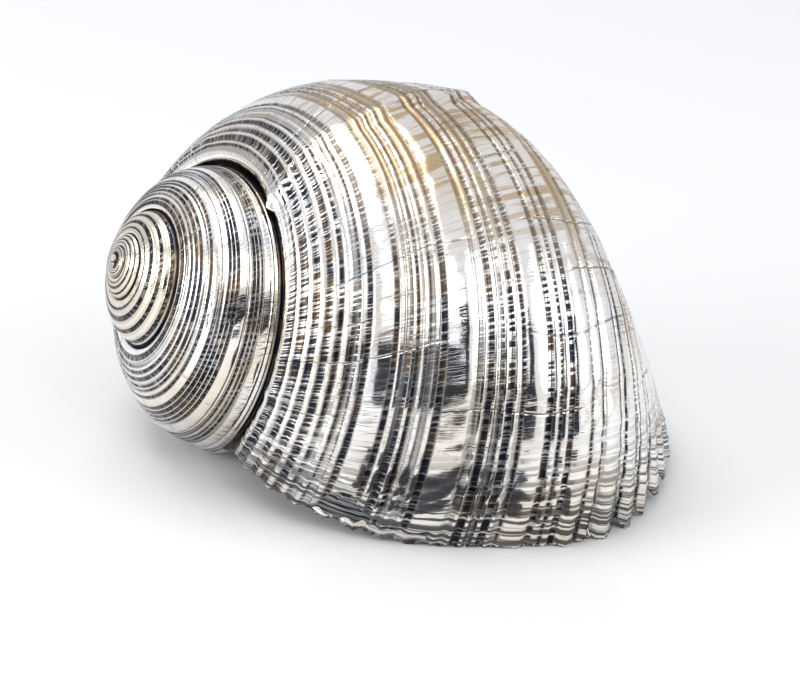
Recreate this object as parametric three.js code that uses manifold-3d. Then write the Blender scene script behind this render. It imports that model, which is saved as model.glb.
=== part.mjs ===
// A turban shell resting on its aperture: one solid, coiled to the right.
// Units are millimetres. The coil is worked out about its own axis, with the apex at the origin and
// the axis running down -Z. The group then lays the shell on its lip, +Z up, apex towards -X.
import * as THREE from "three";
import { mergeVertices } from "three/addons/utils/BufferGeometryUtils.js";
import Module from "manifold-3d";

const wasm = await Module();
wasm.setup();

// ---- Driving dimensions ----
// The coil is measured in turns: 0 at the lip, negative towards the apex.
const GROWTH = 2.19; // how many times wider the whorl gets in the last turn
const WIDENING_SLOWS = 0.022; // the widening eases off towards the apex
const DESCENT = 1.5; // the whorl moves down its axis faster than it widens
const DESCENT_SLOWS = 0.06;
const FIRST_TURN = -5;
const SPIRE_END = -0.8; // from here to the lip the whorl is hollow
const HOLLOW_GAP = 0.02;

// The whorl's outline at the lip: [distance from the axis, depth below the apex].
const RIM = [49.5, 42.3]; // edge of the channel that follows the suture
const SHOULDER = [
  [59.3, 45.9],
  [70.4, 56.3],
];
const SIDE = [
  [83.5, 75.0],
  [91.6, 95.7],
  [96.4, 122.0],
];
const WIDEST = [97.6, 140.6]; // the next whorl would have been attached here
const BASE = [
  [91.5, 160.0],
  [76.8, 179.9],
  [53.7, 199.2],
  [32.0, 210.5],
  [14.0, 216.0],
];

const SUTURE_OVERLAP = 0.93; // each whorl starts just inside the one before

const BASE_FULLNESS = 0.5; // the base near the axis rises this much less than the rest of the whorl
const BASE_FROM = 0.7; // share of the outline where that starts

const LIP_SWEEP = 0.186; // turns by which the lip lags behind its suture end
const LIP_BEND = 0.45;
const LIP_CLEARANCE = 0.12; // turns by which the hollow is cut past the lip
const WALL = 2.6; // wall thickness at the lip
const WALL_START = 0.06; // share of the outline where the hollow starts and ends
const WALL_END = 0.95;

// The central pillar: [radius, depth], from the apex through the spire to its tip at the base.
const PILLAR = [
  [0.4, 0.8],
  [4.0, 16.0],
  [12.0, 40.0],
  [18.0, 62.0],
  [15.0, 84.0],
  [12.0, 122.0],
  [9.5, 150.0],
];
const PILLAR_TIP = 173;
const FILLED_TO = 3; // the sections run this close to the axis, inside the pillar
const HOLLOW_TO = 1;

// The shell lies mouth down, on the largest triangle of its hull.
const APEX_BEARING = 205.7; // where the apex points in plan, in degrees anticlockwise from +X
const WORN = 0.4; // the three touching points are worn flat by this much

// Mesh fineness.
const OUTLINE_STEPS = 24;
const SPIRE_OUTLINE_STEPS = 14;
const STEPS_PER_TURN = 40;
const SPIRE_STEPS_PER_TURN = 26;
const HALF_TURN = 0.5;
const PILLAR_SIDES = 24;
const SMOOTH_WITHIN = 0.08;

// ---- The growth rule ----
const widening = (turn) => GROWTH ** (turn + WIDENING_SLOWS * turn * turn);
const descent = (turn) => GROWTH ** (DESCENT * turn + DESCENT_SLOWS * turn * turn);
const suture = [WIDEST[0] * widening(-1) * SUTURE_OVERLAP, WIDEST[1] * descent(-1)];
const outline = new THREE.SplineCurve(
  [suture, RIM, ...SHOULDER, ...SIDE, WIDEST, ...BASE].map(([r, d]) => new THREE.Vector2(r, d)),
);
const lipTurn = (s) => -LIP_SWEEP * s ** LIP_BEND;

// How far down a point at share s of the outline has come: the base starts from the lip's end.
function loweringAt(turn, s) {
  const outerWhorl = THREE.MathUtils.smoothstep(turn, -2, -1);
  const fullness = BASE_FULLNESS * outerWhorl * THREE.MathUtils.smoothstep(s, BASE_FROM, 1);
  return descent(turn) ** (1 - fullness) * descent(lipTurn(1)) ** fullness;
}

// A point of a section: distance from the axis, depth, and its share s along the outline.
const sectionPoint = (r, d, s) => ({ r, d, s });

function outerLine(steps) {
  return Array.from({ length: steps + 1 }, (_, i) => {
    const s = i / steps;
    const p = outline.getPointAt(s);
    return sectionPoint(p.x, p.y, s);
  });
}

function innerLine(steps) {
  return Array.from({ length: steps + 1 }, (_, i) => {
    const s = THREE.MathUtils.lerp(WALL_START, WALL_END, i / steps);
    const p = outline.getPointAt(s);
    const along = outline.getTangentAt(s);
    return sectionPoint(p.x - along.y * WALL, p.y + along.x * WALL, s);
  });
}

// Closes a line towards the axis, both ends at this radius.
function closedAt(line, radius, firstDrop) {
  const first = line[0];
  const last = line[line.length - 1];
  return [...line, sectionPoint(radius, last.d, 1), sectionPoint(radius, first.d + firstDrop, 0)];
}

const filledSection = (steps) => closedAt(outerLine(steps), FILLED_TO, -2 * WALL);
const hollowSection = (steps) => closedAt(innerLine(steps), HOLLOW_TO, WALL);

// ---- Meshes and solids ----
function solidFrom(geometry) {
  geometry.deleteAttribute("normal");
  geometry.deleteAttribute("uv");
  const merged = mergeVertices(geometry, 1e-4);
  return new wasm.Manifold(
    new wasm.Mesh({
      numProp: 3,
      vertProperties: merged.attributes.position.array,
      triVerts: new Uint32Array(merged.index.array),
    }),
  );
}

function geometryFrom(solid) {
  const mesh = solid.getMesh();
  return new THREE.BufferGeometry()
    .setAttribute("position", new THREE.BufferAttribute(mesh.vertProperties, 3))
    .setIndex(new THREE.BufferAttribute(mesh.triVerts, 1));
}

// Fills a section's end, seen as radius against depth.
function capFaces(ring, firstIndex) {
  const flat = ring.map((p) => new THREE.Vector2(Math.hypot(p.x, p.y), -p.z));
  const triangles = THREE.ShapeUtils.triangulateShape(flat, []);
  return triangles.map((triangle) => triangle.map((index) => index + firstIndex));
}

// Carries a section along the coil from turn `from` to `to(s)`, and closes both ends.
function coiledSolid(section, from, to, stepsPerTurn = STEPS_PER_TURN) {
  const steps = Math.max(3, Math.ceil((to(0) - from) * stepsPerTurn));
  const count = section.length;
  const points = [];
  for (let i = 0; i <= steps; i++) {
    for (const { r, d, s } of section) {
      const turn = THREE.MathUtils.lerp(from, to(s), i / steps);
      const angle = -2 * Math.PI * turn;
      const radius = r * widening(turn);
      points.push(
        new THREE.Vector3(radius * Math.cos(angle), radius * Math.sin(angle), -d * loweringAt(turn, s)),
      );
    }
  }
  const faces = [];
  for (let i = 0; i < steps; i++) {
    for (let j = 0; j < count; j++) {
      const a = i * count + j;
      const b = i * count + ((j + 1) % count);
      const [c, e] = [b + count, a + count];
      const acrossFirst = points[a].distanceTo(points[c]) < points[b].distanceTo(points[e]);
      faces.push(...(acrossFirst ? [[a, b, c], [a, c, e]] : [[a, b, e], [b, c, e]]));
    }
  }
  faces.push(...capFaces(points.slice(0, count), 0).map(([a, b, c]) => [a, c, b]));
  faces.push(...capFaces(points.slice(-count), steps * count));
  const build = (list) =>
    solidFrom(
      new THREE.BufferGeometry()
        .setFromPoints(points)
        .setIndex(list.flat()),
    );
  const solid = build(faces);
  return solid.volume() > 0 ? solid : build(faces.map(([a, b, c]) => [a, c, b]));
}

function spireSolid() {
  let solid = null;
  for (let turn = FIRST_TURN; turn < SPIRE_END - 1e-6; turn += HALF_TURN) {
    const end = Math.min(turn + HALF_TURN, SPIRE_END);
    const fineness = turn < -2 ? SPIRE_OUTLINE_STEPS : OUTLINE_STEPS;
    const piece = coiledSolid(filledSection(fineness), turn, () => end, SPIRE_STEPS_PER_TURN);
    solid = solid ? solid.add(piece) : piece;
  }
  return solid;
}

function bodySolid() {
  const section = filledSection(OUTLINE_STEPS);
  const firstPart = coiledSolid(section, SPIRE_END, () => -HALF_TURN);
  return firstPart.add(coiledSolid(section, -HALF_TURN, lipTurn));
}

function hollowSolid() {
  const section = hollowSection(OUTLINE_STEPS);
  const firstPart = coiledSolid(section, SPIRE_END + HOLLOW_GAP, () => -HALF_TURN);
  return firstPart.add(coiledSolid(section, -HALF_TURN, (s) => lipTurn(s) + LIP_CLEARANCE));
}

// The pillar that the whorls turn about, with a rounded tip.
function pillarSolid() {
  const side = new THREE.SplineCurve(PILLAR.map(([r, d]) => new THREE.Vector2(r, -d)));
  const [tipRadius] = PILLAR[PILLAR.length - 1];
  const tip = new THREE.Path().absarc(0, tipRadius - PILLAR_TIP, tipRadius, 0, -Math.PI / 2, true);
  const profile = [...side.getPoints(8), ...tip.getPoints(5).slice(1)];
  profile.unshift(new THREE.Vector2(0, profile[0].y));
  profile[profile.length - 1].x = 0;
  const lathe = new THREE.LatheGeometry(profile.reverse(), PILLAR_SIDES);
  lathe.rotateX(Math.PI / 2);
  return solidFrom(lathe);
}

const largest = (solid) => solid.decompose().sort((a, b) => b.volume() - a.volume())[0];

// ---- The pose on the table ----
// The outward normal of the largest triangle of the hull.
function hullBaseNormal(solid) {
  const hull = geometryFrom(solid.hull()).toNonIndexed();
  const triangle = new THREE.Triangle();
  const corners = [triangle.a, triangle.b, triangle.c];
  let area = 0;
  const normal = new THREE.Vector3();
  for (let i = 0; i < hull.attributes.position.count; i += 3) {
    corners.forEach((corner, k) => corner.fromBufferAttribute(hull.attributes.position, i + k));
    if (triangle.getArea() > area) {
      area = triangle.getArea();
      triangle.getNormal(normal);
    }
  }
  return normal;
}

function layDown(geometry, baseNormal) {
  const down = new THREE.Vector3(0, 0, -1);
  const lie = new THREE.Quaternion().setFromUnitVectors(baseNormal, down);
  const apex = new THREE.Vector3(0, 0, 1).applyQuaternion(lie);
  geometry.applyQuaternion(lie);
  geometry.rotateZ(THREE.MathUtils.degToRad(APEX_BEARING) - Math.atan2(apex.y, apex.x));
  geometry.computeBoundingBox();
  const middle = geometry.boundingBox.getCenter(new THREE.Vector3());
  return geometry.translate(-middle.x, -middle.y, -geometry.boundingBox.min.z);
}

function wornFlat(solid) {
  return solid.trimByPlane([0, 0, 1], WORN).translate([0, 0, -WORN]);
}

const coiled = largest(
  bodySolid().subtract(hollowSolid()).add(pillarSolid()).add(spireSolid()).simplify(SMOOTH_WITHIN),
);
const lying = solidFrom(layDown(geometryFrom(coiled), hullBaseNormal(coiled)));

const shell = new THREE.Mesh(
  geometryFrom(largest(wornFlat(lying))),
  new THREE.MeshStandardMaterial({ color: 0xd8d0c4, roughness: 0.25, metalness: 1 }),
);
shell.name = "shell";

const root = new THREE.Group();
root.add(shell);

export default root;
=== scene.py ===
# %% [markdown]
# # A silvered turban shell
#
# The real object is one thing: a large sea snail's shell, lying mouth down, with a thin skin of
# polished silver over it. This lesson rolls the shell up by the rule that the snail grows it by,
# cuts the cords and grooves into it, gives it a silver finish with dark tarnish, some painted shade
# and a painted reflection, and sets it on a pale table under soft light. Lengths in the coil are in
# millimetres and turn into metres last.

import math

import bmesh
import bpy
import numpy as np
from mathutils import Euler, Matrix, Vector


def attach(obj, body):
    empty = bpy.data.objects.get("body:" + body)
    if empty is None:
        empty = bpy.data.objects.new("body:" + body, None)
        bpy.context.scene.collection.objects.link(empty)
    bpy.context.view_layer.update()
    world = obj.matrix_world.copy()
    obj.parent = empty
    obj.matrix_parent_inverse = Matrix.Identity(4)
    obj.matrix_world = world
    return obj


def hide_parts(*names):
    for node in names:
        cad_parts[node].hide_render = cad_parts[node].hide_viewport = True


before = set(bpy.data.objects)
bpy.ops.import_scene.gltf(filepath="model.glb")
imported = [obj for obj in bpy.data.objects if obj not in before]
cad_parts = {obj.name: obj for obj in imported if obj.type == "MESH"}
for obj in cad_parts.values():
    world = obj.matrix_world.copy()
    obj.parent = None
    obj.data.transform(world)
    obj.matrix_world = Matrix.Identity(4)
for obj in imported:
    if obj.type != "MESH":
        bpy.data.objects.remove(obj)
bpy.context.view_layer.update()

# %% [markdown]
# ## How the whorl grows
#
# A snail adds shell only at the lip. Each turn the mouth is the same shape but larger, and lower
# down the axis. Counted in turns from the finished lip, 0 is the lip and -1 is one turn earlier.
# Two powers of one number say how wide and how low the whorl is at any turn. The same numbers drive
# the solid model, so the two agree.

# %% The growth rule
GROWTH = 2.19
WIDENING_SLOWS = 0.022
DESCENT = 1.5
DESCENT_SLOWS = 0.06
BASE_FULLNESS = 0.5
BASE_FROM = 0.7
LIP_SWEEP = 0.186
LIP_BEND = 0.45


def widening(turn):
    return GROWTH ** (turn + WIDENING_SLOWS * turn * turn)


def descent(turn):
    return GROWTH ** (DESCENT * turn + DESCENT_SLOWS * turn * turn)


def lip_turn(share):
    return -LIP_SWEEP * np.asarray(share, float) ** LIP_BEND


def smooth_step(x, low, high):
    x = np.clip((np.asarray(x, float) - low) / (high - low), 0, 1)
    return x * x * (3 - 2 * x)


print("one turn back the whorl is", round(widening(-1), 3), "as wide")

# %% [markdown]
# ## The whorl's outline
#
# Cut the last whorl through at the lip and its outer wall is one curve: up out of the channel that
# follows the seam between whorls, over the rim and the shoulder, down the side and round the base to
# the central pillar. A share from 0 to 1 says how far along that curve a point lies. The outline
# could be a curve object, but the shares are needed as numbers, so it is drawn here in a few lines.

# %% Draw the outline
RIM = (49.5, 42.3)
SHOULDER = [(59.3, 45.9), (70.4, 56.3)]
SIDE = [(83.5, 75.0), (91.6, 95.7), (96.4, 122.0)]
WIDEST = (97.6, 140.6)
BASE = [(91.5, 160.0), (76.8, 179.9), (53.7, 199.2), (32.0, 210.5), (14.0, 216.0)]
SEAM_SHARE = 0.602  # the next whorl is attached here, down in its channel


def smooth_curve(points, steps=60):
    """A Catmull-Rom curve through the points, and the share of its length at each step."""
    points = np.array([points[0], *points, points[-1]], float)
    pieces = []
    for before, start, end, after in zip(points, points[1:], points[2:], points[3:]):
        w = np.linspace(0, 1, steps, endpoint=False)[:, None]
        leave, arrive = (end - before) / 2, (after - start) / 2
        pieces.append(
            (2 * start - 2 * end + leave + arrive) * w**3
            + (3 * end - 3 * start - 2 * leave - arrive) * w**2
            + leave * w
            + start
        )
    line = np.vstack([*pieces, points[-1:]])
    run = np.r_[0, np.cumsum(np.linalg.norm(np.diff(line, axis=0), axis=1))]
    return line, run / run[-1], run[-1]


def draw_outline(seam):
    return smooth_curve([seam, RIM, *SHOULDER, *SIDE, WIDEST, *BASE])


def outline_at(share):
    line, shares, _ = outline
    return np.stack([np.interp(share, shares, line[:, i]) for i in (0, 1)], -1)


def seam_point():
    radius, depth = outline_at(SEAM_SHARE)
    return (radius * widening(-1), depth * descent(-1))


outline = draw_outline((WIDEST[0] * widening(-1), WIDEST[1] * descent(-1)))
outline = draw_outline(seam_point())
outline = draw_outline(seam_point())
print("outline length, mm:", round(outline[2], 1), " seam at", np.round(outline_at(0), 1))

# %% [markdown]
# ## Cords and grooves
#
# Spiral cords run round the whorl: broad flat ones, with threads between them, all parted by narrow
# grooves. Each cord keeps its share of the outline as the shell grows. So a list of broad cords and
# a count of threads between them is enough, and every groove follows from it.

# %% Lay out the cords
BROAD_CORDS = [
    (0.036, 0.062), (0.187, 0.217), (0.293, 0.337), (0.412, 0.449), (0.492, 0.521), (0.553, 0.583),
    (0.607, 0.635), (0.657, 0.682), (0.706, 0.731), (0.756, 0.783), (0.812, 0.842), (0.880, 0.915),
]
THREADS_BETWEEN = [6, 4, 4, 2, 1, 1, 1, 1, 1, 1, 1]
GROOVE_HALF_WIDTH = 0.0042


def groove_centres():
    centres = [BROAD_CORDS[0][0] - GROOVE_HALF_WIDTH / 2]
    for (_, left), (right, _), threads in zip(BROAD_CORDS, BROAD_CORDS[1:], THREADS_BETWEEN):
        centres += list(np.linspace(left + GROOVE_HALF_WIDTH, right - GROOVE_HALF_WIDTH, threads + 1))
    return np.array([*centres, BROAD_CORDS[-1][1] + GROOVE_HALF_WIDTH])


grooves = groove_centres()
groove_half = GROOVE_HALF_WIDTH * (0.8 + 0.35 * np.random.default_rng(4).random(len(grooves)))
groove_deep = 0.55 + 0.45 * np.random.default_rng(5).random(len(grooves))


def groove_at(share):
    """How deep in a groove a share of the outline is, from 0 on a cord to 1 at a deep bottom."""
    away = np.abs(np.asarray(share, float)[..., None] - grooves) / (1.5 * groove_half)
    return (groove_deep * np.clip(1 - away**2, 0, 1)).max(-1)


def column_shares():
    """Shares where the pattern needs a line of vertices: three in each groove, some on each cord."""
    shares = [0.0, 0.010, 0.018, 0.025, 1.0]
    for centre, half in zip(grooves, groove_half):
        shares += [centre - half, centre, centre + half]
    edges = np.sort(grooves)
    for left, right in zip(edges, edges[1:]):
        count = max(1, round((right - left) / 0.0105) - 1)
        shares += list(np.linspace(left, right, count + 2)[1:-1])
    shares += list(np.arange(edges[-1] + 0.013, 0.993, 0.013))
    shares = np.sort(shares)
    return shares[np.r_[True, np.diff(shares) > 0.0012]]


columns = column_shares()
seam_column = int(np.abs(columns - SEAM_SHARE).argmin())
inner_column = int(np.abs(columns - SEAM_SHARE - 0.034).argmin())
print(len(grooves), "grooves,", len(columns), "columns, seam at column", seam_column)

# %% [markdown]
# ## The flat pattern
#
# A rolled shape is easiest to make flat first, as a tailor cuts cloth. Unrolled, the whorl is a
# straight moulding: X is the distance from the axis, Y is the turn and Z is the depth, all before
# growth. The seam between two whorls is one shared line of vertices, so nothing has to be cut away
# or merged afterwards. From four fifths of a turn before the lip the whorl is a thin wall with an
# inner skin, and before that it is solid, because nobody can see in so far.

# %% Size the flat pattern
ROWS_PER_TURN = 110
FIRST_TURN = -5.0
HOLLOW_FROM = -0.8
WALL = 2.6
LIP_THINNING = 0.55  # share of the wall that is gone at the lip
THINS_LATE = 14  # the higher this power, the nearer to the lip the thinning starts
HEM_RADIUS = 3.0  # the base ends in a narrow ring round the axis
HEM_DEPTH = BASE[-1][1]

first_row = round(FIRST_TURN * ROWS_PER_TURN)
hollow_row = round(HOLLOW_FROM * ROWS_PER_TURN)
full_row = hollow_row - ROWS_PER_TURN
last_row = 0
print("rows from", first_row, "to", last_row, ", hollow from row", hollow_row)

# %% Vertices, and what is noted on each
vertices = []  # distance from the axis, turn, depth
notes = []  # share, groove, out_radius, out_depth, inset, age


def add_vertex(radius, turn, depth, share, groove=0.0, out=(0.0, 0.0), inset=0.0):
    vertices.append((radius, turn, depth))
    notes.append((share, groove, out[0], out[1], inset, turn - float(lip_turn(share))))
    return len(vertices) - 1


def outward(share):
    """The direction straight out of the wall, in the plane of the outline."""
    before, after = outline_at(np.clip([share - 0.004, share + 0.004], 0, 1))
    along = (after - before) / np.linalg.norm(after - before)
    return (along[1], -along[0])


outline_points = [outline_at(s) for s in columns]
outline_outward = [outward(s) for s in columns]
column_groove = groove_at(columns)


def outer_vertex(j, turn):
    radius, depth = outline_points[j]
    return add_vertex(radius, turn, depth, columns[j], column_groove[j], outline_outward[j])


print("straight out at the seam is", np.round(outline_outward[seam_column], 2))

# %% The scalloped, slightly ragged lip
SCALLOP = 0.008  # turns by which a cord stands out past a groove at the lip


def eased(f, share):
    """Rows crowd towards the lip, except at the seam, where they keep step with the last whorl."""
    crowd = smooth_step(share, 0.0, 0.12)
    return f + (1 - (1 - f) ** 1.5 - f) * crowd


def smoothed_groove(share):
    nearby = np.linspace(share - 0.008, share + 0.008, 9)
    return min(1.0, float(groove_at(nearby).mean()) * 1.9)


def sheet_turn(row, share):
    """The turn of a row at a share, once the row has been bent to the lip's sweep."""
    f = (row - hollow_row) / (last_row - hollow_row)
    f = float(eased(f, share))
    lobes = float(smooth_step(share, 0.35, 0.6)) * (0.5 - smoothed_groove(share))
    ragged = 0.0016 * math.sin(share * 173) + 0.0014 * math.sin(share * 487 + 1)
    reach = SCALLOP * lobes + ragged * float(smooth_step(share, 0.0, 0.1))
    return HOLLOW_FROM + f * (float(lip_turn(share)) - HOLLOW_FROM) + reach * f**12


print("the lip sweeps back", round(-sheet_turn(last_row, 1.0), 3), "turns by the pillar")

# %% The inner skin
BURIED = (40.0, 53.0)  # where the inner skin starts, inside the whorl above
INNER_FROM = 0.085  # share at which the inner skin has come out to the wall


def inner_vertex(j, turn, thin):
    share = columns[j]
    anchor = max(share, INNER_FROM)
    radius, depth = outline_at(anchor)
    out = outward(anchor)
    reach = min(share / INNER_FROM, 1.0)
    wall = WALL * thin
    point = np.array([radius - out[0] * wall, depth - out[1] * wall])
    point = np.array(BURIED) * (1 - reach) + point * reach
    return add_vertex(point[0], turn, point[1], share, 0.0, out, reach)


print("the wall is", WALL, "mm thick,", round(WALL * (1 - LIP_THINNING), 2), "mm at the lip")

# %% Faces, with the turn and share of each corner
faces = []
face_turns = []  # a (turn, share) pair for each corner


def face(corners, marks):
    """Adds a face, given its vertices and the (turn, share) of each, without repeated vertices."""
    kept = [k for k in reversed(range(len(corners))) if corners[k] != corners[k - 1]]
    if len(kept) > 2:
        faces.append([corners[k] for k in kept])
        face_turns.append([marks[k] for k in kept])


def strip(row_a, row_b, turns_a, turns_b, shares):
    """Quads between two lines of vertices."""
    for j in range(len(shares) - 1):
        face(
            [row_a[j], row_a[j + 1], row_b[j + 1], row_b[j]],
            [(turns_a[j], shares[j]), (turns_a[j + 1], shares[j + 1]),
             (turns_b[j + 1], shares[j + 1]), (turns_b[j], shares[j])],
        )


print("ready to add faces, so far", len(faces))

# %% The spire, one row of vertices at a time
apex_vertex = add_vertex(0.0, FIRST_TURN, RIM[1] * 0.9, 0.0)
spire = {}
all_columns = len(columns)
for row in range(first_row, hollow_row + 1):
    turn = row / ROWS_PER_TURN
    seam = spire[row - ROWS_PER_TURN][seam_column] if row - ROWS_PER_TURN in spire else apex_vertex
    reach = seam_column + 1 if row < full_row else all_columns
    skip = range(seam_column + 1, inner_column) if full_row <= row < -ROWS_PER_TURN else ()
    spire[row] = {0: seam}
    for j in range(1, reach):
        if j not in skip:
            spire[row][j] = outer_vertex(j, turn)
    if row >= full_row:
        spire[row]["hem"] = add_vertex(HEM_RADIUS, turn, HEM_DEPTH, 1.0)
        spire[row]["axis"] = add_vertex(0.0, turn, HEM_DEPTH, 1.0)


def spire_line(row, names):
    shares = [columns[name] if isinstance(name, int) else 1.0 for name in names]
    return [spire[row][name] for name in names], shares


for row in range(first_row, hollow_row):
    turn, after = row / ROWS_PER_TURN, (row + 1) / ROWS_PER_TURN
    runs = [list(range(seam_column + 1))]
    if row >= full_row:
        whole = row >= -ROWS_PER_TURN
        tail = [*range(seam_column if whole else inner_column, all_columns), "hem", "axis"]
        runs.append(tail)
    for names in runs:
        line_a, shares = spire_line(row, names)
        line_b, _ = spire_line(row + 1, names)
        strip(line_a, line_b, [turn] * len(names), [after] * len(names), shares)

start, start_shares = spire_line(first_row, range(seam_column + 1))
face(start[::-1], [(FIRST_TURN, s) for s in start_shares[::-1]])
print(len(vertices), "vertices and", len(faces), "faces in the spire")

# %% The last whorl's wall: the vertices of both skins
INNER_LAG = 0.001  # turns by which the inner skin stops short of the lip
outer, inner = {}, {}
inner_columns = sorted({*range(3, all_columns, 3), all_columns - 1})
for row in range(hollow_row, last_row + 1):
    seam_row = spire[row - ROWS_PER_TURN]
    if row == hollow_row:
        outer[row] = [spire[row][j] for j in range(all_columns)] + [spire[row]["hem"]]
    else:
        outer[row] = [seam_row[seam_column]]
        outer[row] += [outer_vertex(j, sheet_turn(row, columns[j])) for j in range(1, all_columns)]
        outer[row].append(add_vertex(HEM_RADIUS, sheet_turn(row, 1.0), HEM_DEPTH, 1.0))
    near_lip = ((row - hollow_row) / (last_row - hollow_row)) ** THINS_LATE
    thin = 1 - LIP_THINNING * near_lip
    inner[row] = [seam_row[inner_column]]
    inner[row] += [
        inner_vertex(j, sheet_turn(row, columns[j]) - INNER_LAG * near_lip, thin)
        for j in inner_columns
    ]
    inner[row].append(add_vertex(HEM_RADIUS, sheet_turn(row, 1.0), HEM_DEPTH - WALL * thin, 1.0))
print(len(vertices), "vertices with the last whorl")

# %% The faces of both skins
outer_shares = [*columns, 1.0]
inner_shares = [0.0, *[columns[j] for j in inner_columns], 1.0]
inner_back = inner_shares[::-1]


def turns_along(row, shares):
    return [sheet_turn(row, s) for s in shares]


for row in range(hollow_row, last_row):
    turns_a, turns_b = turns_along(row, outer_shares), turns_along(row + 1, outer_shares)
    strip(outer[row], outer[row + 1], turns_a, turns_b, outer_shares)
    within_a, within_b = turns_along(row, inner_back), turns_along(row + 1, inner_back)
    strip(inner[row][::-1], inner[row + 1][::-1], within_a, within_b, inner_back)
    face(
        [outer[row][-1], inner[row][-1], inner[row + 1][-1], outer[row + 1][-1]],
        [(turns_a[-1], 1.0), (turns_a[-1], 1.0), (turns_b[-1], 1.0), (turns_b[-1], 1.0)],
    )
print(len(faces), "faces with both skins")

# %% The rim over the lip's edge
# One more line of vertices, a little way out, turns the edge over.
RIM_STANDS_OUT = 0.0016  # turns
rim_inset = WALL * (1 - LIP_THINNING) * 0.5
rim = [None]
for j in range(1, all_columns):
    share = columns[j]
    out = outline_outward[j]
    radius, depth = outline_points[j]
    turn = sheet_turn(last_row, share) + RIM_STANDS_OUT
    place = (radius - out[0] * rim_inset, turn, depth - out[1] * rim_inset)
    rim.append(add_vertex(*place, share, 0.0, out, 0.5))
lip_turns = turns_along(last_row, outer_shares)
strip(
    outer[last_row][1:all_columns], rim[1:],
    lip_turns[1:], lip_turns[1:], outer_shares[1:all_columns],
)
lip_inner = dict(zip(inner_columns, inner[last_row][1:]))
for a, b in zip(inner_columns, inner_columns[1:]):
    marks = [(lip_turns[j], columns[j]) for j in range(a, b + 1)]
    face([*rim[a : b + 1], lip_inner[b], lip_inner[a]], [*marks, marks[-1], marks[0]])
end = all_columns - 1
face(
    [outer[last_row][end], outer[last_row][-1], inner[last_row][-1], lip_inner[end], rim[end]],
    [(lip_turns[-1], 1.0)] * 5,
)
print("the rim has", len(rim) - 1, "vertices")

# %% Where the lip meets the whorl above, and the end of the hollow
lip_row = -ROWS_PER_TURN
junction = [spire[lip_row][j] for j in range(seam_column, inner_column + 1)]
face(
    [outer[last_row][1], *rim[1 : inner_columns[0] + 1], lip_inner[inner_columns[0]], *junction[::-1]],
    [(0.0, 0.02)] * (2 + inner_columns[0] + len(junction)),
)

# The hollow ends at a bulkhead, deep inside.
bulkhead = [spire[full_row][j] for j in range(all_columns - 1, inner_column, -1)]
bulkhead = [
    *inner[hollow_row],
    outer[hollow_row][-1],
    *[spire[row]["axis"] for row in range(hollow_row, full_row - 1, -1)],
    spire[full_row]["hem"],
    *bulkhead,
]
face(bulkhead, [(HOLLOW_FROM, 0.5)] * len(bulkhead))

print("the bulkhead has", len(bulkhead), "corners")

# %% Check that the pattern is closed
edge_uses = {}
for corners in faces:
    for a, b in zip(corners, corners[1:] + corners[:1]):
        edge = (min(a, b), max(a, b))
        edge_uses[edge] = edge_uses.get(edge, 0) + 1
loose = [edge for edge, uses in edge_uses.items() if uses != 2]
print(len(vertices), "vertices,", len(faces), "faces,", len(loose), "edges not shared by two faces")

# %% [markdown]
# ## Growth rests, wavy lip and the chip
#
# The snail stops now and then, and its old lip stays as a ridge: one strong ridge stands between
# the channel and the side, and finer ones crowd near the finished lip. Close to the lip the cords
# also bulge, which gives the edge its waves, and a flake of the outer layer is missing from it.
# Each of these depends on the age of the shell there, so they are numbers kept on the vertices.

# %% Note the growth rests on each vertex
GROWTH_RESTS = [  # age in turns before the lip, height, and how far back the old lip thickens
    (-0.292, 1.0, 0.016), (-0.372, 0.22, 0.010), (-0.455, 0.18, 0.010), (-0.235, 0.16, 0.008),
    (-0.165, 0.16, 0.008), (-0.118, 0.14, 0.007), (-0.083, 0.22, 0.007), (-0.058, 0.28, 0.006),
    (-0.043, 0.36, 0.005), (-0.030, 0.40, 0.005), (-0.017, 0.34, 0.004),
]
share, groove, out_radius, out_depth, inset, age = np.array(notes).T
skin = inset == 0


def growth_rest(age, share):
    wander = 0.003 * np.sin(share * 31) + 0.0015 * np.sin(share * 83 + 2)
    height = np.zeros_like(age)
    for when, high, back in GROWTH_RESTS:
        since = age - when - wander
        older = np.exp(-np.clip(-since, 0, None) / back)
        younger = 1 - smooth_step(since, 0, 0.35 * back)
        height = np.maximum(height, high * older * younger)
    return height


rest = skin * growth_rest(age, share) * smooth_step(share, 0.02, 0.05)
rest *= 1 - 0.45 * smooth_step(share, 0.45, 0.7)
print("vertices on the main growth rest:", int((rest > 0.6).sum()))

# %% Note the waves of the lip and the missing flake
even_shares = np.linspace(0, 1, 501)
cord_top = np.interp(share, even_shares, [0.5 - smoothed_groove(s) for s in even_shares])
flute = cord_top * smooth_step(share, 0.35, 0.6) * smooth_step(age, -0.05, 0.0)


def chip_edge(share):
    """The age of the broken edge of the missing flake."""
    wavy = 0.002 * np.sin(share * 140) + 0.001 * np.sin(share * 311 + 1)
    return -0.006 - 0.019 * np.exp(-(((share - 0.208) / 0.026) ** 2)) - wavy


flaked = smooth_step(share, 0.165, 0.178) * (1 - smooth_step(share, 0.318, 0.334))
chip = skin * flaked * smooth_step(age - chip_edge(share), 0.0, 0.0012)
relief = {
    "groove": groove * (1 - 0.7 * chip), "out_radius": out_radius, "out_depth": out_depth,
    "share": share, "inside": inset, "rest": rest, "flute": flute, "chip": chip,
}
print("vertices in the chip:", int((chip > 0.5).sum()))

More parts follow.
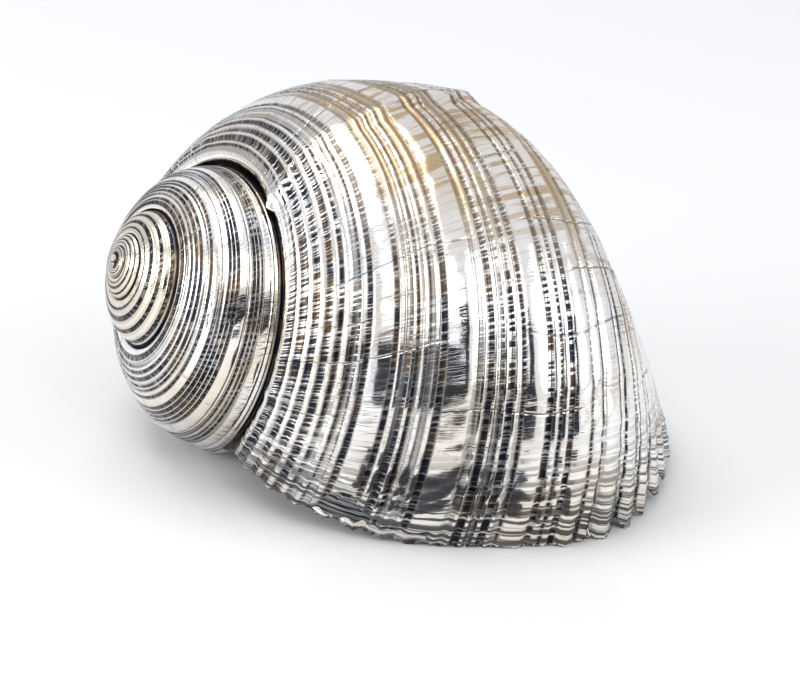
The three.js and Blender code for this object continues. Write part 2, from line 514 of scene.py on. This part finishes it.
# %% Make the pattern a mesh
pattern = bpy.data.meshes.new("whorl_pattern")
pattern.from_pydata(vertices, [], faces)
growth_map = pattern.uv_layers.new(name="growth")
corner_marks = np.array([mark for marks in face_turns for mark in marks], dtype=np.float32)
growth_map.data.foreach_set("uv", corner_marks.ravel())
for name, values in relief.items():
    layer = pattern.attributes.new(name, "FLOAT", "POINT")
    layer.data.foreach_set("value", np.asarray(values, dtype=np.float32))
shell = bpy.data.objects.new("turban_shell", pattern)
bpy.context.scene.collection.objects.link(shell)
print("pattern:", len(pattern.vertices), "vertices,", len(pattern.polygons), "faces")

# %% [markdown]
# ## Helpers for node trees
#
# The rolling-up is arithmetic, and so are parts of the finish. A few short helpers keep the trees
# readable: one makes a node and joins its inputs, two do arithmetic, one eases a value, and one
# reads a number that is kept on the vertices.


# %% Node helpers
def add_node(tree, kind, inputs=None, **settings):
    node = tree.nodes.new(kind)
    for name, value in settings.items():
        setattr(node, name, value)
    for key, value in (inputs or {}).items():
        socket = node.inputs[key]
        if isinstance(value, bpy.types.NodeSocket):
            tree.links.new(value, socket)
        else:
            socket.default_value = value
    return node


def calc(tree, operation, *values):
    node = add_node(tree, "ShaderNodeMath", dict(enumerate(values)), operation=operation)
    return node.outputs[0]


def product(tree, *values):
    result = values[0]
    for value in values[1:]:
        result = calc(tree, "MULTIPLY", result, value)
    return result


def ease(tree, value, low, high, to_low=0.0, to_high=1.0):
    inputs = {"Value": value, 1: low, 2: high, 3: to_low, 4: to_high}
    node = add_node(tree, "ShaderNodeMapRange", inputs, interpolation_type="SMOOTHSTEP")
    return node.outputs[0]


def named(tree, name):
    node = add_node(tree, "GeometryNodeInputNamedAttribute", {"Name": name}, data_type="FLOAT")
    return next(socket for socket in node.outputs if socket.enabled and socket.name == "Attribute")


print("node helpers ready")

# %% [markdown]
# ## Rolling the pattern up
#
# A screw modifier repeats one profile and cannot shrink it turn by turn with its own law, so a
# Geometry Nodes tree moves each vertex of the pattern to its place on the coil. First it presses
# the relief in, straight out of or into the wall, then it turns, widens and lowers the point. The
# pillar inside is a line with a radius that follows a curve. It is united with the wall, so the
# shell is one closed piece.

# %% The rolling tree's named inputs
COIL = {
    "Growth": GROWTH, "Widening Slows": WIDENING_SLOWS, "Descent": DESCENT,
    "Descent Slows": DESCENT_SLOWS, "Base Fullness": BASE_FULLNESS, "Lip Sweep": LIP_SWEEP,
    "Groove Depth": 1.1, "Growth Rest Height": 2.8, "Flute Depth": 3.6, "Chip Depth": 1.3,
    "Pillar Length": 173.0, "Pillar Width": 20.0,
}
tree = bpy.data.node_groups.new("roll up the whorl", "GeometryNodeTree")
tree.interface.new_socket("Geometry", in_out="INPUT", socket_type="NodeSocketGeometry")
for name, size in COIL.items():
    socket = tree.interface.new_socket(name, in_out="INPUT", socket_type="NodeSocketFloat")
    socket.default_value = size
tree.interface.new_socket("Finish", in_out="INPUT", socket_type="NodeSocketMaterial")
tree.interface.new_socket("Geometry", in_out="OUTPUT", socket_type="NodeSocketGeometry")
given = tree.nodes.new("NodeGroupInput").outputs
print("the rolling tree has", len(COIL), "named sizes")

# %% Press the relief in
here = tree.nodes.new("GeometryNodeInputPosition").outputs[0]
flat_radius, flat_turn, flat_depth = add_node(tree, "ShaderNodeSeparateXYZ", {0: here}).outputs
pressed = product(tree, named(tree, "groove"), given["Groove Depth"], -1.0)
for name, size in (("rest", "Growth Rest Height"), ("flute", "Flute Depth")):
    pressed = calc(tree, "ADD", pressed, product(tree, named(tree, name), given[size]))
flake = product(tree, named(tree, "chip"), given["Chip Depth"])
pressed = calc(tree, "SUBTRACT", pressed, flake)
radius = calc(tree, "ADD", flat_radius, product(tree, pressed, named(tree, "out_radius")))
depth = calc(tree, "ADD", flat_depth, product(tree, pressed, named(tree, "out_depth")))
print("pressing takes", len(tree.nodes), "nodes")


# %% Turn, widen and lower each point
def power_of_growth(turn, steady, slowing):
    exponent = calc(tree, "ADD", product(tree, turn, steady), product(tree, turn, turn, slowing))
    return calc(tree, "POWER", given["Growth"], exponent)


wide = power_of_growth(flat_turn, 1.0, given["Widening Slows"])
low = power_of_growth(flat_turn, given["Descent"], given["Descent Slows"])
lip_at = product(tree, given["Lip Sweep"], -1.0)
lip_low = power_of_growth(lip_at, given["Descent"], given["Descent Slows"])
base_full = ease(tree, named(tree, "share"), BASE_FROM, 1.0)
full = product(tree, ease(tree, flat_turn, -2.0, -1.0), base_full, given["Base Fullness"])
own_low = calc(tree, "POWER", low, calc(tree, "SUBTRACT", 1.0, full))
lowered = product(tree, own_low, calc(tree, "POWER", lip_low, full))
angle = product(tree, flat_turn, -2 * math.pi)
reach = product(tree, radius, wide)
coiled = add_node(tree, "ShaderNodeCombineXYZ", {
    0: product(tree, reach, calc(tree, "COSINE", angle)),
    1: product(tree, reach, calc(tree, "SINE", angle)),
    2: product(tree, depth, lowered, -1.0),
})
whorl = add_node(tree, "GeometryNodeSetPosition",
                 {"Geometry": given["Geometry"], "Position": coiled.outputs[0]})
print("the rolling tree has", len(tree.nodes), "nodes so far")

# %% The pillar, united with the whorl
PILLAR = [  # share of the pillar's length, and thickness there as a share of its width
    (0, 0.02), (0.025, 0.20), (0.23, 0.60), (0.36, 0.90), (0.486, 0.75), (0.705, 0.60),
    (0.867, 0.475), (0.95, 0.36), (0.985, 0.22), (1, 0.06),
]
PILLAR_RINGS, PILLAR_SIDES = 90, 36
along_pillar = tree.nodes.new("GeometryNodeSplineParameter").outputs["Factor"]
pillar_bottom = product(tree, given["Pillar Length"], -1.0)
pillar_end = add_node(tree, "ShaderNodeCombineXYZ", {2: pillar_bottom})
axis_line = add_node(tree, "GeometryNodeCurvePrimitiveLine", {"End": pillar_end.outputs[0]})
axis_line = add_node(tree, "GeometryNodeResampleCurve",
                     {"Curve": axis_line.outputs[0], "Count": PILLAR_RINGS})
swelling = tree.nodes.new("ShaderNodeFloatCurve")
bend = swelling.mapping.curves[0]
bend.points[0].location, bend.points[1].location = PILLAR[0], PILLAR[-1]
for place in PILLAR[1:-1]:
    bend.points.new(*place)
swelling.mapping.update()
tree.links.new(along_pillar, swelling.inputs["Value"])
thickness = product(tree, swelling.outputs[0], given["Pillar Width"])
axis_line = add_node(tree, "GeometryNodeSetCurveRadius",
                     {"Curve": axis_line.outputs[0], "Radius": thickness})
ring = add_node(tree, "GeometryNodeCurvePrimitiveCircle",
                {"Resolution": PILLAR_SIDES, "Radius": 1.0})
pillar = add_node(tree, "GeometryNodeCurveToMesh",
                  {"Curve": axis_line.outputs[0], "Profile Curve": ring.outputs[0], "Fill Caps": True})
inside_mark = add_node(tree, "GeometryNodeStoreNamedAttribute",
                       {"Geometry": pillar.outputs[0], "Name": "inside", "Value": 1.0},
                       data_type="FLOAT", domain="POINT")
union = add_node(tree, "GeometryNodeMeshBoolean", operation="UNION", solver="MANIFOLD")
tree.links.new(inside_mark.outputs[0], union.inputs["Mesh 2"])
tree.links.new(whorl.outputs[0], union.inputs["Mesh 2"])
print("with the pillar it has", len(tree.nodes))

# %% Lay the shell down on its lip and base
# Three spots would dip a little under the table, so they are flattened where they touch it.
LIE = Euler([math.radians(a) for a in (50.466, 59.857, -99.817)])
PLACE = Vector((-77.795, -20.348, 61.317)) * 0.001
laid = add_node(tree, "GeometryNodeTransform", {
    "Geometry": union.outputs[0], "Translation": PLACE, "Rotation": LIE, "Scale": (0.001,) * 3})
here = tree.nodes.new("GeometryNodeInputPosition").outputs[0]
point = add_node(tree, "ShaderNodeSeparateXYZ", {0: here}).outputs
above_table = calc(tree, "MAXIMUM", point[2], 0.0)
worn = add_node(tree, "ShaderNodeCombineXYZ", {0: point[0], 1: point[1], 2: above_table})
rested = add_node(tree, "GeometryNodeSetPosition",
                  {"Geometry": laid.outputs[0], "Position": worn.outputs[0]})
smooth = add_node(tree, "GeometryNodeSetShadeSmooth",
                  {"Geometry": rested.outputs[0], "Shade Smooth": True})
real = add_node(tree, "GeometryNodeRealizeInstances", {"Geometry": smooth.outputs[0]})
finished = add_node(tree, "GeometryNodeSetMaterial",
                    {"Geometry": real.outputs[0], "Material": given["Finish"]})
leaving = tree.nodes.new("NodeGroupOutput")
tree.links.new(finished.outputs[0], leaving.inputs[0])
print("the whole tree has", len(tree.nodes), "nodes")

# %% [markdown]
# ## The silver finish
#
# The real shell is plated: bright, slightly warm silver on the cords, and dark brown tarnish left in
# the grooves where polishing cannot reach. Growth lines cross the grooves as thin bright combs. One
# noise over the whole shell would be quick, but it would not follow the growth, so the pattern is
# made from noise stretched along the growth lines. The mesh carries its own map, called
# growth: across it runs the turn, and up it runs the share of the outline.

# %% Tarnished silver: where on the shell, and how old
CORD_LENGTH = 778.0  # mm, about the length of the widest cord from the spire's tip to the lip
silver = bpy.data.materials.new("silvered shell")
silver.use_nodes = True
look = silver.node_tree
look.nodes.clear()


def times(*values):
    return product(look, *values)


def plus(first, second):
    return calc(look, "ADD", first, second)


def minus(first, second):
    return calc(look, "SUBTRACT", first, second)


def most(first, second):
    return calc(look, "MAXIMUM", first, second)


def less(value):
    return minus(1.0, value)


def fade(value, low, high, to_low=0.0, to_high=1.0):
    return ease(look, value, low, high, to_low, to_high)


growth_uv = add_node(look, "ShaderNodeUVMap", uv_map="growth")
where = add_node(look, "ShaderNodeSeparateXYZ", {0: growth_uv.outputs[0]})
on_turn, on_share = where.outputs[0], where.outputs[1]
look_place = look.nodes.new("ShaderNodeTexCoord").outputs["Object"]
bent_share = calc(look, "POWER", most(on_share, 0.0001), LIP_BEND)
born = plus(on_turn, times(bent_share, LIP_SWEEP))
grown_mm = times(calc(look, "POWER", GROWTH, born), CORD_LENGTH)
print("the finish knows each point's turn, share and age")


# %% Noise that follows the growth
def mark(name):
    """A number that is kept on the vertices."""
    kept = add_node(look, "ShaderNodeAttribute", attribute_type="GEOMETRY", attribute_name=name)
    return kept.outputs["Fac"]


def noise(x, y, z, detail):
    place = add_node(look, "ShaderNodeCombineXYZ", {0: x, 1: y, 2: z})
    inputs = {"Vector": place.outputs[0], "Scale": 1.0, "Detail": detail}
    return add_node(look, "ShaderNodeTexNoise", inputs).outputs[0]


def streaks(along, across, detail=2.0, seed=0.0):
    """Noise stretched along the growth lines, so many to a millimetre of growth."""
    return noise(times(grown_mm, along), times(on_share, across), seed, detail)


def patches(size_mm, detail=3.0, seed=0.0):
    """Noise fixed in the shell's own space."""
    place = add_node(look, "ShaderNodeMapping", {"Vector": look_place, "Location": (seed,) * 3})
    inputs = {"Vector": place.outputs[0], "Scale": 1000.0 / size_mm, "Detail": detail}
    return add_node(look, "ShaderNodeTexNoise", inputs).outputs[0]


inside = fade(mark("inside"), 0.1, 0.45)
blotch = patches(26.0, 3.0, 0.3)
fading = noise(times(on_share, 46.0), times(on_turn, 1.3), 4.0, 1.0)
on_spire = fade(on_turn, -0.85, -1.05)
print("the finish has", len(look.nodes), "nodes so far")

# %% [markdown]
# ## Where tarnish stays, and where shade is painted
#
# Tarnish stays where a cloth cannot reach: in the grooves, in the channel by the seams, in cracks and
# round the missing flake. The oldest whorls keep only a few broad bands of it. On the real shell the
# channel beside each seam of the spire is deeper than the one in this mesh, so a band of painted
# shade, in the tarnish's dark colours, stands in for the shade of the deeper channel. Darker growth
# lines on the lower side of each spire whorl are painted shade too.

# %% Tarnish in the grooves
in_groove = mark("groove")
base_side = fade(on_share, 0.38, 0.56)
steep = plus(in_groove, fade(on_share, 0.17, 0.20, 0.09, 0.0))
steep = fade(minus(steep, times(base_side, 0.16)), 0.10, 0.44)
steep = most(steep, times(on_spire, fade(in_groove, 0.0, 0.25)))
steep = times(steep, most(fade(fading, 0.36, 0.50), fade(on_spire, 0.0, 1.0, 0.55, 0.12)))
print("groove tarnish set")

# %% Bands on the oldest whorls, and painted shade beside the seams
EARLY_BANDS = ((0.080, 0.098), (0.132, 0.172), (0.232, 0.272), (0.350, 0.400))
BAND_SOFTNESS = 0.006
early = fade(on_turn, -1.6, -1.8)
bands = 0.0
for low, high in EARLY_BANDS:
    band = times(fade(on_share, low - BAND_SOFTNESS, low + BAND_SOFTNESS),
                 fade(on_share, high + BAND_SOFTNESS, high - BAND_SOFTNESS))
    bands = most(bands, band)
steep = most(times(steep, less(times(early, 0.75))), times(early, bands))
channel = fade(on_share, 0.043, 0.034)
# Painted shade: a dark band beside each seam of the spire stands in for the shade of a deeper channel.
seam_from = plus(0.468, times(plus(on_turn, 1.0), 0.060))
seam_painted_shade = times(fade(minus(on_share, seam_from), 0.0, 0.026),
                    fade(on_share, 0.625, 0.605), fade(on_turn, -1.0, -1.01))
print(len(EARLY_BANDS), "bands on the oldest whorls")

# %% Bright combs across the grooves
comb = fade(streaks(0.95, 17.0, 4.0), 0.49, 0.60)
combed = times(comb, fade(blotch, 0.36, 0.64, 0.80, 0.20), fade(on_spire, 0.0, 1.0, 1.0, 0.35))
# From here the tarnish mask also carries the painted shade beside the seams.
tarnish_and_shade = most(times(steep, less(combed)), most(channel, seam_painted_shade))
print("combs set")

# %% Cracks along old growth lines
CRACK_AGES = (-0.075, -0.118, -0.142, -0.175, -0.222, -0.262, -0.325, -0.41, -0.53, -0.72)
crack = 0.0
for number, when in enumerate(CRACK_AGES):
    wander = noise(times(on_share, 5.0), number * 3.7, 0.0, 1.5)
    beside = calc(look, "ABSOLUTE", plus(minus(born, when), times(minus(wander, 0.5), 0.03)))
    stretch = fade(streaks(0.004, 6.0, 1.0, 30.0 + 2.3 * number), 0.47, 0.53)
    crack = most(crack, times(fade(beside, 0.0012, 0.0003), stretch))
print(len(CRACK_AGES), "cracks")

# %% Growth lines, the worn lip, the flake, and painted shade on the spire
fine_lines = fade(streaks(1.9, 22.0, 3.0, 5.0), 0.35, 0.55)
broad_lines = fade(streaks(0.28, 7.0, 2.0, 9.0), 0.30, 0.40)
# Painted shade: the growth lines are real, but they are made darker on the lower side of each spire
# whorl, where shade falls.
painted_spire_shade = times(on_spire, fade(on_share, 0.34, 0.46), fade(blotch, 0.60, 0.40), 0.8)
lines_and_shade = times(less(fine_lines), plus(fade(blotch, 0.46, 0.74, 0.0, 0.60), painted_spire_shade))
near_lip = times(fade(born, -0.075, -0.012), fade(streaks(0.75, 5.0, 3.0, 2.0), 0.58, 0.44))
in_chip = times(mark("chip"), fade(streaks(0.9, 9.0, 2.0, 19.0), 0.60, 0.42, 0.60, 1.0))
specks = fade(streaks(1.3, 55.0, 2.0, 41.0), 0.66, 0.72)
specks = times(specks, fade(blotch, 0.40, 0.60, 0.25, 0.85))
# The growth lines bring painted shade on the spire with them, beside real wear, the flake, cracks and
# specks.
wear_and_shade = (times(near_lip, 0.9), in_chip, times(less(broad_lines), 0.35), times(crack, 0.7),
               lines_and_shade, specks)
for dark_mark in wear_and_shade:
    tarnish_and_shade = most(tarnish_and_shade, dark_mark)
tarnish_and_shade = times(calc(look, "MINIMUM", tarnish_and_shade, 1.0), less(inside))
lip_edge = times(fade(mark("inside"), 0.1, 0.4), fade(mark("inside"), 0.9, 0.6),
                 fade(born, -0.02, 0.0))
lip_tarnish = times(lip_edge, fade(streaks(0.3, 60.0, 2.0, 17.0), 0.60, 0.42), 0.9)
tarnish_and_shade = most(tarnish_and_shade, lip_tarnish)
print(len(wear_and_shade) + 1, "more kinds of tarnish")

# %% Gold on the shoulder, and a painted reflection of the pale table on the spire
gold_zone = times(fade(on_turn, -0.52, -0.42), fade(on_turn, -0.25, -0.34),
                  fade(on_share, 0.12, 0.24), fade(on_share, 0.68, 0.54))
crossing = most(fade(streaks(0.42, 5.0, 3.0, 25.0), 0.47, 0.60), fade(fading, 0.52, 0.42))
golden = times(gold_zone, fade(patches(14.0, 3.0, 2.0), 0.22, 0.44),
               fade(crossing, 0.0, 1.0, 0.25, 1.0))
tarnish_and_shade = times(tarnish_and_shade, fade(gold_zone, 0.0, 1.0, 1.0, 0.80))
# Painted reflection: cream patches on the spire, where it reflects the pale table.
painted_table_reflection = times(fade(on_turn, -0.95, -1.15), fade(patches(22.0, 2.0, 4.0), 0.46, 0.62))
print("gold and cream set")

# %% The colours, mixed
BRIGHT_SILVER = (0.955, 0.945, 0.925)
WARM_SILVER = (0.88, 0.815, 0.725)
# The cream of the painted table reflection.
REFLECTED_TABLE_CREAM = (0.84, 0.745, 0.60)
GOLDEN_BROWN = (0.50, 0.36, 0.20)
SATIN_INSIDE = (0.72, 0.70, 0.66)
# The two dark colours below are used both for the tarnish and for the painted shade.
BROWN_TARNISH_AND_SHADE = (0.060, 0.041, 0.028)
BLUE_BLACK_TARNISH_AND_SHADE = (0.014, 0.016, 0.024)
GOLD_TARNISH = (0.13, 0.078, 0.038)


def tint(colour, amount, towards):
    mixed = add_node(look, "ShaderNodeMix", data_type="RGBA", blend_type="MIX")
    inputs = mixed.inputs
    for socket, value in ((inputs[0], amount), (inputs[6], colour), (inputs[7], towards)):
        if isinstance(value, bpy.types.NodeSocket):
            look.links.new(value, socket)
        else:
            socket.default_value = (*value, 1.0)
    return mixed.outputs[2]


colour = tint(BRIGHT_SILVER, fade(patches(30.0, 3.0, 3.0), 0.44, 0.62), WARM_SILVER)
# Painted reflection of the pale table, in cream, on the spire.
colour = tint(colour, times(painted_table_reflection, 0.75), REFLECTED_TABLE_CREAM)
colour = tint(colour, times(golden, 0.9), GOLDEN_BROWN)
colour = tint(colour, inside, SATIN_INSIDE)
dark = tint(BROWN_TARNISH_AND_SHADE, fade(patches(9.0, 2.0, 7.0), 0.38, 0.54), BLUE_BLACK_TARNISH_AND_SHADE)
dark = tint(dark, times(gold_zone, 0.8), GOLD_TARNISH)
# The dark colours go where there is tarnish and where shade is painted.
colour = tint(colour, tarnish_and_shade, dark)
print("the finish has", len(look.nodes), "nodes")

# %% Gloss and the finest relief
BUMP_STRENGTH = 0.5
BUMP_DISTANCE = 0.0006  # metres
gloss = plus(fade(patches(12.0, 3.0, 1.0), 0.3, 0.7, 0.03, 0.11), times(tarnish_and_shade, 0.28))
gloss = plus(gloss, plus(times(inside, 0.20), times(golden, 0.16)))
height = plus(times(fine_lines, 0.025), times(comb, steep, 0.10))
height = plus(height, times(broad_lines, 0.12))
height = plus(height, times(streaks(0.10, 9.0, 1.0, 14.0), 2.2))
height = minus(height, times(crack, 0.3))
height = times(height, fade(inside, 0.0, 1.0, 1.0, 0.2))
bump = add_node(look, "ShaderNodeBump", {
    "Height": height, "Strength": BUMP_STRENGTH, "Distance": BUMP_DISTANCE})
silvering = add_node(look, "ShaderNodeBsdfPrincipled", {
    "Base Color": colour, "Metallic": 1.0, "Roughness": gloss, "Normal": bump.outputs[0]})
surface = look.nodes.new("ShaderNodeOutputMaterial")
look.links.new(silvering.outputs[0], surface.inputs["Surface"])
silver.diffuse_color = (0.83, 0.80, 0.76, 1.0)
print("finish:", silver.name, "with", len(look.nodes), "nodes")

# %% [markdown]
# ## Roll it up and measure it
#
# A modifier runs the tree on the flat pattern, and its result is kept as a plain mesh. The inputs
# are set by each socket's identifier, because names can repeat. Then the mesh is measured. A closed
# solid has no open edge, and its signed volume is positive only when its faces point outwards. If
# they point inwards, the union with the pillar goes wrong too, so this number is worth reading.

# %% Roll it up
roller = shell.modifiers.new("roll up", "NODES")
roller.node_group = tree
sockets = {s.name: s.identifier for s in tree.interface.items_tree if s.in_out == "INPUT"}
for name, size in COIL.items():
    roller[sockets[name]] = size
roller[sockets["Finish"]] = silver
bpy.context.view_layer.update()
evaluated = shell.evaluated_get(bpy.context.evaluated_depsgraph_get())
rolled = bpy.data.meshes.new_from_object(evaluated)
rolled.name = "turban_shell"
shell.modifiers.remove(roller)
shell.data = rolled
bpy.data.meshes.remove(pattern)
kept_layers = [layer.name for layer in rolled.attributes if not layer.name.startswith(".")]
print("kept on it:", kept_layers, [m.name for m in rolled.materials if m])

# %% Measure it, and say what it is
measure = bmesh.new()
measure.from_mesh(rolled)
open_edges = sum(len(edge.link_faces) != 2 for edge in measure.edges)
triangles = sum(len(face.verts) - 2 for face in measure.faces)
volume = measure.calc_volume(signed=True) * 1e6
measure.free()
print("shell:", len(rolled.vertices), "vertices,", triangles, "triangles,")
print(open_edges, "open edges,", round(volume, 1), "cubic cm")
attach(shell, "root")
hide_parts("shell")

# %% [markdown]
# ## Table, light and camera
#
# A product table is a pale sweep under large soft lamps. Silver shows only what it reflects, so a
# few dark cards stand where the lamps are not: they put the dark bars into the bright curves. The
# cards never show themselves.


# %% The table and the cards
def plain_material(name, colour, roughness):
    material = bpy.data.materials.new(name)
    material.use_nodes = True
    face_shader = material.node_tree.nodes["Principled BSDF"]
    face_shader.inputs["Base Color"].default_value = (*colour, 1.0)
    face_shader.inputs["Roughness"].default_value = roughness
    return material


def flat_panel(name, centre, facing, width, height, material):
    turned = Vector(facing).to_track_quat("Z", "Y")
    corners = [turned @ Vector((x * width / 2, y * height / 2, 0)) + Vector(centre)
               for x, y in ((-1, -1), (1, -1), (1, 1), (-1, 1))]
    mesh = bpy.data.meshes.new(name)
    mesh.from_pydata(corners, [], [(0, 1, 2, 3)])
    panel = bpy.data.objects.new(name, mesh)
    mesh.materials.append(material)
    bpy.context.scene.collection.objects.link(panel)
    return panel


TABLE_SIZE = 8.0
table_paint = plain_material("white table", (0.55, 0.55, 0.548), 0.7)
card_paint = plain_material("dark card", (0.006, 0.008, 0.016), 0.8)
flat_panel("table", (0, 0, 0), (0, 0, 1), TABLE_SIZE, TABLE_SIZE, table_paint)
CARDS = [  # name, centre, facing, width, height
    ("card_front", (0.21, -0.80, 0.14), (0, 1, 0), 1.06, 0.38),
    ("card_upper", (0.46, -0.66, 0.46), (-0.46, 0.66, -0.41), 0.20, 0.34),
    ("card_left", (-0.9, -0.75, 0.30), (0.9, 0.7, 0), 0.20, 0.6),
    ("card_low", (0.025, -0.098, 0.0008), (0, 0, 1), 0.085, 0.05),
]
for name, centre, facing, width, height_m in CARDS:
    card = flat_panel(name, centre, facing, width, height_m, card_paint)
    card.visible_camera = False
    card.visible_shadow = False
    card.visible_diffuse = False
print(len(CARDS), "cards")

# %% The lamps
LAMPS = [  # name, place, aim, width, height, watts
    ("lamp_above", (-0.45, 0.10, 1.5), (0.3, -0.05, -1.0), 1.3, 1.0, 14.0),
    ("lamp_front", (0.10, -1.30, 1.35), (-0.1, 1.3, -1.2), 1.4, 0.8, 9.0),
    ("lamp_left", (-1.4, -0.75, 0.5), (1.4, 0.75, -0.42), 1.1, 0.8, 24.0),
    ("lamp_right", (1.4, -0.4, 0.7), (-1.4, 0.4, -0.6), 1.0, 1.0, 10.0),
]
for name, centre, aim, width, height_m, watts in LAMPS:
    lamp = bpy.data.lights.new(name, "AREA")
    lamp.shape, lamp.size, lamp.size_y, lamp.energy = "RECTANGLE", width, height_m, watts
    holder = bpy.data.objects.new(name, lamp)
    holder.location = centre
    holder.rotation_euler = Vector(aim).to_track_quat("-Z", "Y").to_euler()
    bpy.context.scene.collection.objects.link(holder)
world = bpy.data.worlds.new("studio")
world.use_nodes = True
world.node_tree.nodes["Background"].inputs["Color"].default_value = (0.93, 0.95, 1.0, 1.0)
world.node_tree.nodes["Background"].inputs["Strength"].default_value = 0.92
bpy.context.scene.world = world
bpy.context.scene.view_settings.view_transform = "Standard"
print(len(LAMPS), "lamps")

# %% [markdown]
# ## The camera
#
# A long lens far away shows a small object with hardly any perspective, as a shop's product picture
# does. The camera looks down on the shell a little and leans a few degrees to one side.

# %% The camera
LENS_MM = 200.0
SENSOR_MM = 36.0
VIEW_WIDTH = 0.224  # metres across the picture at the shell
LOOK_AT = Vector((0.00273, -0.00371, 0.03629))
ELEVATION, SIDEWAYS, TILT = 22.98, -0.26, 4.74
away = LENS_MM / SENSOR_MM * VIEW_WIDTH
up, side = math.radians(ELEVATION), math.radians(SIDEWAYS)
back = Vector((math.sin(side) * math.cos(up), -math.cos(side) * math.cos(up), math.sin(up)))
camera_data = bpy.data.cameras.new("camera")
camera_data.lens = LENS_MM
camera_data.sensor_width = SENSOR_MM
camera_data.clip_end = 20.0
camera = bpy.data.objects.new("camera", camera_data)
camera.location = LOOK_AT + back * away
turned = back.to_track_quat("Z", "Y")
camera.rotation_euler = (turned @ Euler((0, 0, math.radians(TILT))).to_quaternion()).to_euler()
bpy.context.scene.collection.objects.link(camera)
bpy.context.scene.camera = camera
print("camera", round(away, 3), "m away")
